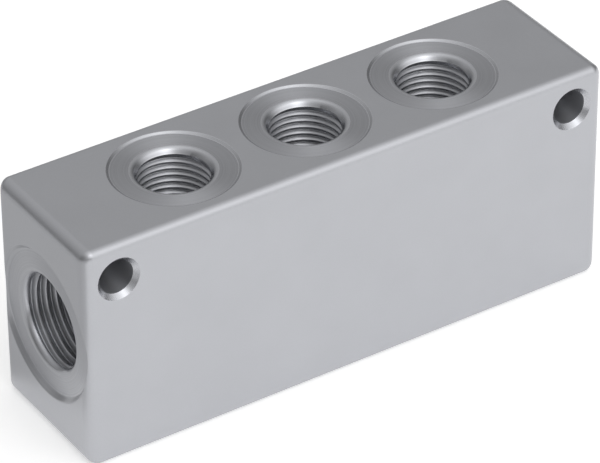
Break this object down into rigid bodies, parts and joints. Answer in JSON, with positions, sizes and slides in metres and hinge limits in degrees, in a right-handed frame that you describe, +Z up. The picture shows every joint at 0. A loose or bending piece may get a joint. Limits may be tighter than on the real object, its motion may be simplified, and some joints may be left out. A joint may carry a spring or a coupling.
{
  "type": "pneumatic distribution block",
  "caption": "Rectangular aluminium air distribution block with a threaded inlet in each end, a row of threaded outlets in the top and mounting holes through its thickness.",
  "frame": {"origin": "centre of the block's bottom face", "axes": "+X runs along the block from the left inlet to the right inlet, +Y runs through its thickness from the front face to the back face, and +Z points up, out of the outlets"},
  "size_m": [0.074, 0.02, 0.0305],
  "materials": {
    "anodised_aluminium": "satin, clear anodised, with turned marks in the spotfaces"
  },
  "bodies": {
    "root": {"manifold_block": "anodised_aluminium"}
  },
  "joints": []
}
